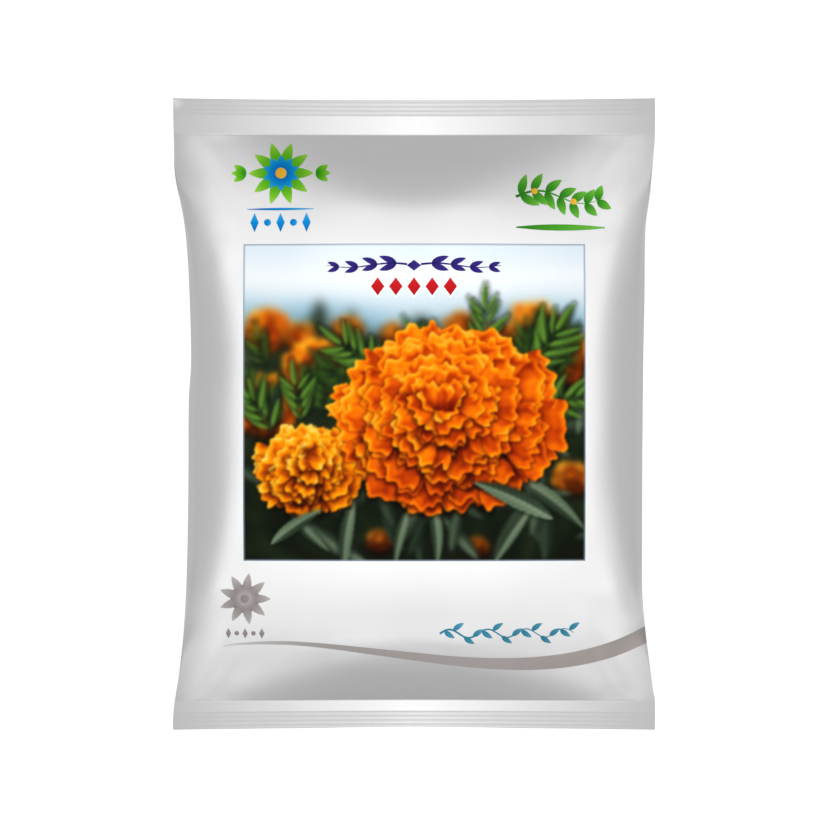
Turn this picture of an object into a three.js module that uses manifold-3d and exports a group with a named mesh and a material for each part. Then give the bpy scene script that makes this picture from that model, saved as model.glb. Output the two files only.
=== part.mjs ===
// A filled seed packet: a pillow pouch of one film web, with the seeds that it holds.
// Millimetres. +X across the packet, +Y towards its top end, +Z out of its front.
// The packet lies on its back on z = 0, with the origin under its middle.
import * as THREE from 'three';
import { mergeVertices } from 'three/addons/utils/BufferGeometryUtils.js';
import Module from 'manifold-3d';

const wasm = await Module();
wasm.setup();

// Pouch, as made flat and then filled.
const width = 115;
const length = 150.6;
const wall = 0.2;
const puff = 8.3;

// End seals: a fused band, whose outer part is ribbed by the sealing jaws.
const topSeal = 8.6;
const bottomSeal = 6.9;
const crimpBand = 4.3;
const crimpPitch = 1.075;
const crimpHeight = 0.16;
const crimpSteps = 4;

// How far the sides draw in once the pouch is filled, and over what length.
const leftDraw = 3.8;
const rightDraw = 3.0;
const drawRun = 40;

// How far the corners lift above the middle of the seals, and over what length.
const cornerLift = 3.5;
const liftRun = 45;

// From a side fold, or from a seal, to the flat of a face. A face rises in a steep arch from the
// middle of a seal, but slowly from its ends, where the corners stay low and flat. The change
// from the one to the other starts archFrom inside a side fold and is archReach wide.
const shoulderRun = 15.5;
const shoulderRunAtSeal = 7;
const shoulderSettle = 62;
const shoulderOnset = 56;
const topArchRun = 22;
const bottomArchRun = 17.5;
const archFrom = 8;
const archReach = 40;

// The back seam: two edges sealed face to face and folded flat, in a shallow trough of the back.
const finWidth = 10;
const finGap = 0.15;
const finLift = 0.05;
const troughMargin = 0.6;
const troughFlank = 2;
const ventRadius = 0.4;
const ventDepth = 0.6;
const ventSides = 12;

// Seeds: slim achenes with a tuft of scales, in a drift on the inside of the back.
const seedCount = 66;
const seedLength = 7;
const seedRadius = 0.55;
const seedNeck = 0.32;
const seedSides = 5;
const tuftLength = 4;
const tuftRadius = 0.22;
const tuftSplay = 0.16;
const tuftScales = 3;
const tuftSides = 3;
const seedTilt = 0.16;
const seedGap = 0.3;
const driftCentre = new THREE.Vector2(24, -2);
const driftHalf = new THREE.Vector2(14.5, 21);
const driftPile = 1.9;
const driftCover = 0.9;
const driftOrder = 34;
const goldenAngle = 2.39996;
const coreHeight = 2;
const coreSides = 16;

// Grid of the pouch surface.
const flankColumns = 9;
const bodyRows = 26;
const rimClearance = 0.02;

const midPlane = puff + wall;
const finThick = 2 * wall;
const troughDepth = finThick + finGap + finLift;
const topLine = length / 2 - topSeal;
const bottomLine = -length / 2 + bottomSeal;
const troughHalf = finWidth / 2 + troughMargin;

const film = new THREE.MeshStandardMaterial({ color: 0xf1f1f0, roughness: 0.34, metalness: 0.1 });
film.name = 'pearl_film';
const husk = new THREE.MeshStandardMaterial({ color: 0x2a221c, roughness: 0.75, metalness: 0 });
husk.name = 'seed_husk';

function clamp01(t) {
  return THREE.MathUtils.clamp(t, 0, 1);
}

function ease(t) {
  return THREE.MathUtils.smoothstep(t, 0, 1);
}

// Distance inside the seal that lies nearer.
function insideSeals(y) {
  return Math.max(0, Math.min(topLine - y, y - bottomLine));
}

// How much of its full draw a side has at this height.
function drawnIn(y) {
  const left = 1 - clamp01(insideSeals(y) / drawRun);
  return 1 - left * left;
}

function leftEdge(y) {
  return -width / 2 + leftDraw * drawnIn(y);
}

function rightEdge(y) {
  return width / 2 - rightDraw * drawnIn(y);
}

// A rise that starts steep and flattens out over its run.
function arch(distance, run) {
  const left = 1 - clamp01(distance / run);
  return 1 - left * left;
}

// Rise from a side fold: a quarter ellipse.
function shoulder(fromFold, fromSeal) {
  const run = THREE.MathUtils.lerp(shoulderRunAtSeal, shoulderRun, ease(fromSeal / shoulderSettle));
  return Math.sqrt(arch(fromFold, run));
}

// Share of the full bulge at a point, with the whole outline drawn in by an inset.
function rise(x, y, inset) {
  const fromLeft = Math.max(0, x - leftEdge(y) - inset);
  const fromRight = Math.max(0, rightEdge(y) - x - inset);
  const fromTop = Math.max(0, topLine - y - inset);
  const fromBottom = Math.max(0, y - bottomLine - inset);
  const fromSeal = Math.min(fromTop, fromBottom);
  const across = shoulder(fromLeft, fromSeal) * shoulder(fromRight, fromSeal);
  const atEnds = arch(fromTop, shoulderOnset) * arch(fromBottom, shoulderOnset);
  const inMiddle = arch(fromTop, topArchRun) * arch(fromBottom, bottomArchRun);
  const middle = ease((fromLeft - archFrom) / archReach) * ease((fromRight - archFrom) / archReach);
  return atEnds * across + (inMiddle - atEnds) * middle;
}

// Height of the surface in which the seals and the side folds lie.
function foldHeight(x, y) {
  const outwards = (x / (width / 2)) ** 2;
  const nearSeal = 1 - ease(insideSeals(y) / liftRun);
  return midPlane + cornerLift * outwards * nearSeal * (1 - rise(x, y, 0));
}

function trough(x) {
  return troughDepth * (1 - clamp01((Math.abs(x) - troughHalf) / troughFlank));
}

// Outer face of the back, on which the packet rests.
function backFace(x, y) {
  const swell = rise(x, y, 0);
  return foldHeight(x, y) - wall - puff * swell + trough(x) * swell;
}

// Columns close up towards the side folds, and mark the flanks of the trough.
function columnStations() {
  const inner = troughHalf + troughFlank;
  const half = [0, troughHalf, inner];
  for (let i = 1; i <= flankColumns; i += 1) {
    const t = Math.sin((i / flankColumns) * (Math.PI / 2));
    half.push(THREE.MathUtils.lerp(inner, width / 2, t));
  }
  return [...half.slice(1).reverse().map((x) => -x), ...half];
}

// Rows close up towards the two seal lines.
function rowStations(low, high) {
  const rows = [];
  for (let j = 0; j <= bodyRows; j += 1) {
    const t = (1 - Math.cos((j / bodyRows) * Math.PI)) / 2;
    rows.push(THREE.MathUtils.lerp(low, high, t));
  }
  return rows;
}

// Rows of the ribbed parts, from each end inwards.
function crimpRows() {
  const steps = Math.round(crimpBand / crimpPitch) * crimpSteps;
  const rows = [];
  for (let i = 0; i <= steps; i += 1) {
    rows.push(length / 2 - (i / steps) * crimpBand);
  }
  return rows;
}

// Wave that the sealing jaws press into both faces of a seal.
function crimpWave(y) {
  const fromEnd = Math.min(length / 2 - Math.abs(y), crimpBand);
  return crimpHeight * Math.sin((fromEnd / crimpPitch) * Math.PI * 2);
}

// A column's place in a row: only the flanks beyond the trough follow the drawn-in folds.
function columnPlace(station, y, inset) {
  const inner = troughHalf + troughFlank;
  const share = clamp01((Math.abs(station) - inner) / (width / 2 - inner));
  const edge = station < 0 ? leftEdge(y) + inset : rightEdge(y) - inset;
  const side = Math.sign(station) * (width / 2);
  return station + share * (edge - side);
}

// A closed pillow: a front and a back grid with a rim between them.
function pillow(rows, inset, rim, front, back) {
  const columns = columnStations();
  const across = columns.length;
  const points = [];
  for (const face of [front, back]) {
    const side = face === front ? 1 : -1;
    for (const y of rows) {
      for (const station of columns) {
        const x = columnPlace(station, y, inset);
        points.push(x, y, foldHeight(x, y) + side * rim + face(x, y));
      }
    }
  }
  const layer = rows.length * across;
  const at = (row, column, face) => face * layer + row * across + column;
  const faces = [];
  const quad = (a, b, c, d) => faces.push(a, b, c, a, c, d);
  for (let j = 0; j + 1 < rows.length; j += 1) {
    for (let i = 0; i + 1 < across; i += 1) {
      quad(at(j, i, 0), at(j, i + 1, 0), at(j + 1, i + 1, 0), at(j + 1, i, 0));
      quad(at(j, i, 1), at(j + 1, i, 1), at(j + 1, i + 1, 1), at(j, i + 1, 1));
    }
    quad(at(j, 0, 0), at(j + 1, 0, 0), at(j + 1, 0, 1), at(j, 0, 1));
    quad(at(j, across - 1, 0), at(j, across - 1, 1), at(j + 1, across - 1, 1), at(j + 1, across - 1, 0));
  }
  const last = rows.length - 1;
  for (let i = 0; i + 1 < across; i += 1) {
    quad(at(0, i, 0), at(0, i, 1), at(0, i + 1, 1), at(0, i + 1, 0));
    quad(at(last, i, 0), at(last, i + 1, 0), at(last, i + 1, 1), at(last, i, 1));
  }
  const geometry = new THREE.BufferGeometry();
  geometry.setAttribute('position', new THREE.Float32BufferAttribute(points, 3));
  geometry.setIndex(faces);
  return geometry;
}

function toSolid(geometry) {
  const bare = geometry.clone();
  bare.deleteAttribute('normal');
  bare.deleteAttribute('uv');
  const merged = mergeVertices(bare, 1e-5);
  const mesh = new wasm.Mesh({
    numProp: 3,
    vertProperties: Float32Array.from(merged.attributes.position.array),
    triVerts: Uint32Array.from(merged.index.array),
  });
  return new wasm.Manifold(mesh);
}

function toGeometry(solid) {
  const mesh = solid.getMesh();
  const geometry = new THREE.BufferGeometry();
  geometry.setAttribute('position', new THREE.Float32BufferAttribute(mesh.vertProperties, 3));
  geometry.setIndex(Array.from(mesh.triVerts));
  geometry.computeVertexNormals();
  return geometry;
}

// A strip of the fin, between two x, that follows the back from end to end.
function finStrip(left, right, under, over) {
  const rows = [-length / 2, ...rowStations(bottomLine, topLine), length / 2];
  const outline = new THREE.Shape([
    ...rows.map((y) => new THREE.Vector2(y, backFace(0, y) + under)),
    ...rows.reverse().map((y) => new THREE.Vector2(y, backFace(0, y) + over)),
  ]);
  const strip = new THREE.ExtrudeGeometry(outline, { depth: right - left, bevelEnabled: false });
  strip.applyMatrix4(new THREE.Matrix4().set(0, 0, 1, left, 1, 0, 0, 0, 0, 1, 0, 0, 0, 0, 0, 1));
  return toSolid(strip);
}

function pouchFilm() {
  const topRows = crimpRows().reverse();
  const bottomRows = crimpRows().map((y) => -y);
  const outer = pillow(
    [...bottomRows, ...rowStations(bottomLine, topLine), ...topRows],
    0,
    wall,
    (x, y) => puff * rise(x, y, 0) + crimpWave(y),
    (x, y) => (trough(x) - puff) * rise(x, y, 0) + crimpWave(y),
  );
  const innerRows = rowStations(bottomLine + wall, topLine - wall);
  const hollow = pillow(
    innerRows,
    wall,
    rimClearance,
    (x, y) => puff * rise(x, y, wall),
    (x, y) => (trough(x) - puff) * rise(x, y, wall),
  );
  const under = -finGap - finThick;
  const root = -finWidth / 2;
  let solid = toSolid(outer);
  solid = solid.add(finStrip(root, -root, under, -finGap));
  solid = solid.add(finStrip(root, root + finThick, under, wall / 2));
  // Across each seal the fin is fused to the band.
  for (const [low, high] of [[topLine, length / 2], [-length / 2, bottomLine]]) {
    const pad = new THREE.BoxGeometry(finWidth, high - low, finGap + wall);
    pad.translate(0, (low + high) / 2, midPlane - wall - finGap + (finGap + wall) / 2);
    solid = solid.add(toSolid(pad));
  }
  solid = solid.subtract(toSolid(hollow));
  // A pinhole under the fin joins the hollow to the outside.
  const vent = new THREE.CylinderGeometry(ventRadius, ventRadius, ventDepth, ventSides);
  vent.rotateX(Math.PI / 2);
  vent.translate(0, 0, backFace(0, 0) + wall);
  solid = solid.subtract(toSolid(vent));
  return toGeometry(solid);
}

// A small repeatable random sequence: a linear congruential one.
function randomFrom(start) {
  const multiplier = 1664525;
  const increment = 1013904223;
  const modulus = 2 ** 32;
  let state = start;
  return () => {
    state = (state * multiplier + increment) % modulus;
    return state / modulus;
  };
}

// Highest inner face of the back under a seed.
function bedUnder(place, heading) {
  const reach = seedLength / 2 + tuftLength;
  let bed = 0;
  for (const along of [-reach, -reach / 2, 0, reach / 2, reach]) {
    const x = place.x + along * Math.cos(heading);
    const y = place.y + along * Math.sin(heading);
    bed = Math.max(bed, backFace(x, y) + wall);
  }
  return bed;
}

// One seed along +X: a tapered body with a tuft of slim scales at its broad end.
function seedSolids() {
  const body = new THREE.CylinderGeometry(seedRadius, seedNeck, seedLength, seedSides, 1);
  body.rotateZ(-Math.PI / 2);
  const pieces = [body];
  for (let i = 0; i < tuftScales; i += 1) {
    const scale = new THREE.ConeGeometry(tuftRadius, tuftLength, tuftSides, 1);
    scale.translate(0, tuftLength / 2, 0);
    scale.rotateZ(-Math.PI / 2 + tuftSplay);
    scale.rotateX((i / tuftScales) * Math.PI * 2);
    scale.translate(seedLength / 2 - seedRadius, 0, 0);
    pieces.push(scale);
  }
  return pieces;
}

function seedDrift() {
  const random = randomFrom(driftOrder);
  const bed = backFace(driftCentre.x, driftCentre.y) + wall;
  const core = new THREE.SphereGeometry(1, coreSides, coreSides / 2);
  core.rotateX(Math.PI / 2);
  core.scale(driftHalf.x, driftHalf.y, coreHeight / 2);
  core.translate(driftCentre.x, driftCentre.y, bed + seedGap + coreHeight / 2);
  const solids = [toSolid(core)];
  for (let i = 0; i < seedCount; i += 1) {
    // Even cover of the oval drift, with a golden-angle turn from seed to seed.
    const out = driftCover * Math.sqrt((i + 0.5) / seedCount);
    const turn = i * goldenAngle;
    const place = new THREE.Vector2(
      driftCentre.x + driftHalf.x * out * Math.cos(turn),
      driftCentre.y + driftHalf.y * out * Math.sin(turn),
    );
    const heading = random() * Math.PI * 2;
    const tilt = (random() - 0.5) * seedTilt;
    const lift = random() * driftPile * (1 - out * out);
    const low = Math.abs(Math.sin(tilt)) * (seedLength / 2 + tuftLength);
    const z = bedUnder(place, heading) + seedGap + seedRadius + low + lift;
    for (const piece of seedSolids()) {
      piece.rotateX(random() * Math.PI);
      piece.rotateY(tilt);
      piece.rotateZ(heading);
      piece.translate(place.x, place.y, z);
      solids.push(toSolid(piece));
    }
  }
  return toGeometry(wasm.Manifold.union(solids));
}

const packet = new THREE.Group();

const filmMesh = new THREE.Mesh(pouchFilm(), film);
filmMesh.name = 'pouch_film';
packet.add(filmMesh);

const seedMesh = new THREE.Mesh(seedDrift(), husk);
seedMesh.name = 'seed_drift';
packet.add(seedMesh);

export default packet;
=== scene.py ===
import bpy
import numpy as np
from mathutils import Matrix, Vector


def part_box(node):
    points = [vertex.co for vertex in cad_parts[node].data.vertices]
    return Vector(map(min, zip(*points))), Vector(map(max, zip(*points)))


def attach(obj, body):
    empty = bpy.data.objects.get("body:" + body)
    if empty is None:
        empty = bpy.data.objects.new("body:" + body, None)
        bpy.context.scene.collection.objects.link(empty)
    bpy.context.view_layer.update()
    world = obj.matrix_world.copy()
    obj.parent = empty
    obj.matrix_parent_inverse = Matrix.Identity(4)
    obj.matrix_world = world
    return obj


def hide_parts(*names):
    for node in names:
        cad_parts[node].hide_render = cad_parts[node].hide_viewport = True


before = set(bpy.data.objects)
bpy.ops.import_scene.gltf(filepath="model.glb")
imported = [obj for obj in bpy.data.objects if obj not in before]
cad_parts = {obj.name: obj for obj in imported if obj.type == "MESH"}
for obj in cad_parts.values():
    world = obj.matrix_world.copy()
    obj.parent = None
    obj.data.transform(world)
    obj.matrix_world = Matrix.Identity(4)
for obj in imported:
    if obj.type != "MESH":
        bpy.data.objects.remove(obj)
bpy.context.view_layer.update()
filmLow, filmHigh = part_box("pouch_film")
mm = 0.001
print("frame loaded")


def addObject(name, data):
    added = bpy.data.objects.new(name, data)
    bpy.context.scene.collection.objects.link(added)
    return added


# The camera looks straight down, so far off that the packet takes up its rows of pixels in the picture.
camera = {
    "lens": 100, "sensor": 36, "clip": (10, 20000), "cornerHeight": 12, "rows": 828, "packetRows": (98, 729),
}


def makeCamera():
    top, bottom = camera["packetRows"]
    seen = (filmHigh.y - filmLow.y) * camera["rows"] / (bottom - top)
    data = bpy.data.cameras.new("camera")
    data.lens = camera["lens"]
    data.sensor_width = camera["sensor"]
    data.clip_start, data.clip_end = (reach * mm for reach in camera["clip"])
    eye = addObject("camera", data)
    eye.location = (0, 0, seen * camera["lens"] / camera["sensor"] + camera["cornerHeight"] * mm)
    bpy.context.scene.camera = eye


makeCamera()
bpy.context.scene.view_settings.view_transform = "Standard"

# The pouch, close to the dimensions of its solid. Its side folds, the bow of its bottom end and the flatter
# film beside the folds near the seals follow the photograph more finely than the solid does.
packet = {
    "width": (filmHigh.x - filmLow.x) / mm, "length": (filmHigh.y - filmLow.y) / mm, "wall": 0.2,
    "topSeal": 8.5, "bottomSeal": 6.75, "cornerLift": 3.5, "liftRun": 45, "shoulderRun": 15.5,
    "shoulderRunAtSeal": 7, "shoulderSettle": 62, "shoulderOnset": 56, "flatFold": 8.0, "flatSpread": 0.5,
    "flatFade": 28, "topArchRun": 22, "bottomArchRun": 17.5, "archSpan": (8, 40), "endBow": 0.28,
    "bowHalf": 32, "bowRun": 8, "crown": 0.45, "printRoom": 0.08,
}
packet["puff"] = (filmHigh.z - filmLow.z) / mm / 2 - packet["wall"]
halfWidth, halfLength = packet["width"] / 2, packet["length"] / 2
midPlane = packet["puff"] + packet["wall"]
topLine = halfLength - packet["topSeal"]
bottomLine = packet["bottomSeal"] - halfLength


def ease(t):
    t = np.clip(t, 0, 1)
    return t * t * (3 - 2 * t)


# From 0 to 1 over a span, given as its start and its run.
def risen(distance, span):
    start, run = span
    return ease((distance - start) / run)


def bump(distance, width):
    return np.exp(-((distance / width) ** 2))


def blendOf(a, b, t):
    return a + (b - a) * t


def insideSeals(y):
    return np.maximum(0, np.minimum(topLine - y, y - bottomLine))


# A smooth curve through a few places, given as many numbers each.
def smoothPath(corners, count):
    corners = np.array(corners, float)
    padded = np.vstack([2 * corners[0] - corners[1], corners, 2 * corners[-1] - corners[-2]])
    place = np.linspace(0, len(corners) - 1 - 1e-9, count)
    at = place.astype(int)
    t = (place - at)[:, None]
    a, b, c, d = (padded[at + i] for i in range(4))
    return 0.5 * (2 * b + (c - a) * t + (2 * a - 5 * b + 4 * c - d) * t**2 + (3 * b - 3 * c + d - a) * t**3)


# How far each side fold draws in, from the bottom end to the top: height along the packet, and depth.
sideFold = {
    "left": [
        (-75.3, 0), (-72, 0.05), (-68.4, 0.42), (-62, 1.4), (-54, 2.25), (-45, 2.8), (-35, 3.1),
        (-16, 3.35), (3, 3.45), (13, 4.0), (30, 3.6), (39, 3.15), (45, 2.6), (49.7, 1.85),
        (54.5, 0.82), (58.5, 0.32), (63, 0.27), (69, 0.1), (75.3, 0),
    ],
    "right": [
        (-75.3, 0), (-68.4, 0.03), (-66, 0.44), (-58.8, 1.37), (-54, 1.9), (-46, 2.65), (-39.7, 2.88),
        (-30, 2.78), (-9, 2.68), (13, 2.47), (27, 2.2), (38, 2.2), (44, 2.1), (47.4, 1.8),
        (52.1, 1.15), (56.9, 0.75), (61.7, 0.36), (66.7, 0.03), (75.3, 0),
    ],
    "steps": 240,
}


def foldDepth(side, y):
    path = smoothPath(sideFold[side], sideFold["steps"])
    return np.maximum(0, np.interp(y, path[:, 0], path[:, 1]))


def leftEdge(y):
    return foldDepth("left", y) - halfWidth


def rightEdge(y):
    return halfWidth - foldDepth("right", y)


def arch(distance, run):
    return 1 - (1 - np.clip(distance / run, 0, 1)) ** 2


def shoulder(fromFold, fromSeal):
    settled = ease(fromSeal / packet["shoulderSettle"])
    rounded = np.sqrt(arch(fromFold, blendOf(packet["shoulderRunAtSeal"], packet["shoulderRun"], settled)))
    flat = ease(fromFold / (packet["flatFold"] + packet["flatSpread"] * fromSeal))
    return blendOf(flat, rounded, ease(fromSeal / packet["flatFade"]))


# How full the pouch is at a place: 0 at its folds and seals, 1 in its middle.
def rise(x, y, inset=0):
    fromLeft = np.maximum(0, x - leftEdge(y) - inset)
    fromRight = np.maximum(0, rightEdge(y) - x - inset)
    fromTop = np.maximum(0, topLine - y - inset)
    fromBottom = np.maximum(0, y - bottomLine - inset)
    fromSeal = np.minimum(fromTop, fromBottom)
    across = shoulder(fromLeft, fromSeal) * shoulder(fromRight, fromSeal)
    atEnds = arch(fromTop, packet["shoulderOnset"]) * arch(fromBottom, packet["shoulderOnset"])
    inMiddle = arch(fromTop, packet["topArchRun"]) * arch(fromBottom, packet["bottomArchRun"])
    middle = risen(fromLeft, packet["archSpan"]) * risen(fromRight, packet["archSpan"])
    return atEnds * across + (inMiddle - atEnds) * middle


# Height of the surface in which the seals and the side folds lie.
def foldHeight(x, y):
    nearSeal = 1 - ease(insideSeals(y) / packet["liftRun"])
    return midPlane + packet["cornerLift"] * (x / halfWidth) ** 2 * nearSeal * (1 - rise(x, y))


# Ribs that the sealing jaws press: "first" is their start from the top end and from the bottom end.
crimp = {
    "band": 4.3, "first": (0.32, 0.6), "pitch": 1.03, "ribs": 4, "height": 0.02, "edge": 0.25,
    "depth": 1.05, "fade": 0.0147, "fadeFrom": 50,
}


# Where the pressed band is, and how deep in its grooves: 0 to 1 each.
def grooves(x, y):
    inwards = halfLength - np.abs(bowed(x, y)) - np.where(y > 0, *crimp["first"])
    inBand = ease(((crimp["ribs"] - 0.5) * crimp["pitch"] - inwards) / crimp["edge"])
    faded = risen(np.abs(x), (crimp["fadeFrom"], halfWidth - crimp["fadeFrom"]))
    depth = (crimp["depth"] - crimp["fade"] * np.abs(x)) * (1 - faded)
    return inBand, depth * inBand * (0.5 + 0.5 * np.cos(inwards / crimp["pitch"] * 2 * np.pi))


def crimpWave(x, y):
    return -2 * crimp["height"] * grooves(x, y)[1]


# The soft unevenness of a filled film: swells, as wave lengths, phases and shares, and puckers by the seals.
waves = {
    "height": 0.03, "long": (7.1, 0.8, 13), "upright": (9.3, 1.1), "short": (0.6, 3.9, 5.7, 2),
    "settle": 12, "onset": 2, "rest": (0.9, 0.1), "pucker": 0.05, "puckerPitch": 8.5,
    "puckerSway": (0.18, 11), "puckerRun": 7, "puckerStart": 2,
}


def filmWaves(x, y):
    across, sway, swayRun = waves["long"]
    upright, phase = waves["upright"]
    swell = np.sin(x / across + sway * np.sin(y / swayRun)) * np.sin(y / upright + phase)
    share, across, along, phase = waves["short"]
    swell += share * np.sin(x / across - y / along + phase)
    fromSeal = insideSeals(y)
    sway, swayRun = waves["puckerSway"]
    pitch = waves["puckerPitch"] * (1 + sway * np.sin(x / swayRun))
    pucker = np.sin(x * 2 * np.pi / pitch) * np.exp(-fromSeal / waves["puckerRun"])
    pucker *= ease(fromSeal / waves["puckerStart"])
    return waves["height"] * swell * ease(fromSeal / waves["settle"]) + waves["pucker"] * pucker


# A place on the packet's front, given flat: the bottom end bows inwards, and ink is lifted clear of the film.
def bowed(x, y):
    near = ease(1 - (halfLength + y) / packet["bowRun"])
    return y + packet["endBow"] * ease(1 - np.abs(x) / packet["bowHalf"]) * near


def frontHeight(x, y):
    swell = rise(x, y)
    crown = packet["crown"] * (1 - (1 - (x / halfWidth) ** 2) * (1 - (y / halfLength) ** 2)) * swell
    shape = foldHeight(x, y) + packet["wall"] + packet["puff"] * swell - crown
    wave = filmWaves(x, y) * ease(swell * waves["onset"])
    return shape + crimpWave(x, y) + wave - packet["printRoom"] * swell


def onFront(x, y, lift=0.0):
    return np.stack([x, bowed(x, y), frontHeight(x, y) + lift], axis=-1)


# The fin seal on the back, folded flat into a shallow trough.
seam = {
    "width": 10, "thick": 0.4, "gap": 0.15, "lift": 0.05, "margin": 0.6, "flank": 2, "ribPitch": 1.3,
    "ribHeight": 0.04, "ribFade": 0.8,
}
troughDepth = seam["thick"] + seam["gap"] + seam["lift"]
troughHalf = seam["width"] / 2 + seam["margin"]


def trough(x):
    return troughDepth * (1 - np.clip((np.abs(x) - troughHalf) / seam["flank"], 0, 1))


def plainBack(x, y):
    return foldHeight(x, y) - packet["wall"] + (trough(x) - packet["puff"]) * rise(x, y)


# The packet lies on the part of its back where it is fullest, so the waves stop there.
def backHeight(x, y):
    swell = rise(x, y)
    wave = filmWaves(x, -y) * ease(swell * waves["onset"]) * (1 - risen(swell, waves["rest"]))
    return np.maximum(0, plainBack(x, y) + crimpWave(x, y) + wave)


def onBack(x, y):
    return np.stack([x, bowed(x, y), backHeight(x, y)], axis=-1)


# Meshes from grids of points.
def gridFaces(rows, columns, first=0, flip=False):
    at = first + np.arange(rows * columns).reshape(rows, columns)
    quads = np.stack([at[:-1, :-1], at[:-1, 1:], at[1:, 1:], at[1:, :-1]], axis=-1).reshape(-1, 4)
    return quads[:, ::-1] if flip else quads


# An upper and a lower grid, closed round their rim; flipped where it is seen from inside.
def closedShell(upper, lower, first=0, flip=False):
    rows, columns = upper.shape[:2]
    count = rows * columns
    at = first + np.arange(count).reshape(rows, columns)
    rim = np.concatenate([at[0, :], at[1:, -1], at[-1, -2::-1], at[-2:0:-1, 0]])
    under = rim + count
    sides = np.stack([rim, under, np.roll(under, -1), np.roll(rim, -1)], axis=-1)
    sides = sides[:, ::-1] if flip else sides
    faces = [gridFaces(rows, columns, first, flip), gridFaces(rows, columns, first + count, not flip), sides]
    return np.concatenate([upper.reshape(-1, 3), lower.reshape(-1, 3)]), np.concatenate(faces)


def makeMesh(name, points, faces, material, sharp=None):
    mesh = bpy.data.meshes.new(name)
    faces = faces.tolist() if isinstance(faces, np.ndarray) else faces
    mesh.from_pydata((np.asarray(points).reshape(-1, 3) * mm).tolist(), [], faces)
    mesh.materials.append(material)
    mesh.polygons.foreach_set("use_smooth", [True] * len(mesh.polygons))
    if sharp:
        mesh.set_sharp_from_angle(angle=np.radians(sharp))
    mesh.update()
    piece = addObject(name, mesh)
    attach(piece, "root")
    return piece


def paintPoints(piece, colours, encoded=True):
    attribute = piece.data.color_attributes.new("printColour", "FLOAT_COLOR", "POINT")
    full = np.ones((len(piece.data.vertices), 4), np.float32)
    colours = np.asarray(colours).reshape(-1, 3)
    full[:, :3] = linear(colours) if encoded else colours
    attribute.data.foreach_set("color", full.ravel())


# The screen's curve, undone.
def linear(colour):
    colour = np.clip(np.asarray(colour, float), 0, 1)
    return np.where(colour <= 0.04045, colour / 12.92, ((colour + 0.055) / 1.055) ** 2.4)


def hexColour(code):
    return np.array([int(code[i : i + 2], 16) for i in (0, 2, 4)]) / 255


# A node with its settings; each input takes a value, or the socket that feeds it.
def addNode(tree, kind, inputs=None, **settings):
    node = tree.nodes.new(kind)
    for key, value in settings.items():
        setattr(node, key, value)
    for key, value in (inputs or {}).items():
        if isinstance(value, bpy.types.NodeSocket):
            tree.links.new(value, node.inputs[key])
        else:
            node.inputs[key].default_value = value
    return node


# A shader node group: named inputs and outputs, placed in each material with its own values.
def newGroup(name, inputs, outputs):
    group = bpy.data.node_groups.new(name, "ShaderNodeTree")
    for socketName, kind, value in inputs:
        socket = group.interface.new_socket(name=socketName, in_out="INPUT", socket_type=kind)
        socket.default_value = value
    for socketName, kind in outputs:
        group.interface.new_socket(name=socketName, in_out="OUTPUT", socket_type=kind)
    return group, group.nodes.new("NodeGroupInput").outputs, group.nodes.new("NodeGroupOutput").inputs


# The grain in every surface: streaks along the web, clouds, and a fine bump.
grain = {"stretch": (1, 0.12, 1), "streaks": 420, "clouds": 60, "bumpHeight": 0.1}


def filmGrainGroup():
    colour, number, vector = "NodeSocketColor", "NodeSocketFloat", "NodeSocketVector"
    inputs = [("Colour", colour, (0.9, 0.9, 0.9, 1)), ("Mottle", number, 0.02), ("Roughness", number, 0.3)]
    inputs += [("Roughness Spread", number, 0.05), ("Grain Size", number, 700), ("Bump", number, 0.05)]
    outputs = [("Colour", colour), ("Roughness", number), ("Normal", vector)]
    group, given, out = newGroup("filmGrain", inputs, outputs)

    def noise(place, scale, detail, roughness):
        values = {"Vector": place, "Scale": scale, "Detail": detail, "Roughness": roughness}
        return addNode(group, "ShaderNodeTexNoise", values).outputs["Fac"]

    def sums(operation, *values):
        return addNode(group, "ShaderNodeMath", dict(enumerate(values)), operation=operation).outputs[0]

    place = addNode(group, "ShaderNodeTexCoord").outputs["Object"]
    drawn = addNode(group, "ShaderNodeMapping", {"Vector": place, "Scale": grain["stretch"]})
    streaks = noise(drawn.outputs["Vector"], grain["streaks"], 3, 0.6)
    clouds = noise(place, grain["clouds"], 2, 0.5)
    fine = noise(place, given["Grain Size"], 4, 0.65)
    centred = sums("SUBTRACT", sums("ADD", streaks, clouds), 1.0)
    tint = sums("MULTIPLY_ADD", centred, given["Mottle"], 1.0)
    shade = addNode(group, "ShaderNodeVectorMath", {0: given["Colour"], "Scale": tint}, operation="SCALE")
    rough = sums("MULTIPLY_ADD", centred, given["Roughness Spread"], given["Roughness"])
    raised = {"Strength": given["Bump"], "Distance": grain["bumpHeight"] * mm, "Height": fine}
    bumped = addNode(group, "ShaderNodeBump", raised)
    results = {"Colour": shade.outputs["Vector"], "Roughness": rough, "Normal": bumped.outputs["Normal"]}
    for key, socket in results.items():
        group.links.new(socket, out[key])
    return group


filmGrain = filmGrainGroup()


def newMaterial(name, values):
    material = bpy.data.materials.new(name)
    material.use_nodes = True
    surface = material.node_tree.nodes["Principled BSDF"]
    for key, value in values.items():
        surface.inputs[key].default_value = value
    return material, material.node_tree, surface


# A material with the grain, in its own colour or in the colours that the piece's points are printed with.
def grainMaterial(name, values, grainValues):
    material, tree, surface = newMaterial(name, values)
    inputs = dict(grainValues)
    if "Colour" not in inputs:
        printed = addNode(tree, "ShaderNodeAttribute", attribute_name="printColour")
        inputs["Colour"] = printed.outputs["Color"]
    placed = addNode(tree, "ShaderNodeGroup", inputs, node_tree=filmGrain)
    for key, socket in (("Colour", "Base Color"), ("Roughness", "Roughness"), ("Normal", "Normal")):
        tree.links.new(placed.outputs[key], surface.inputs[socket])
    return material


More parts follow.
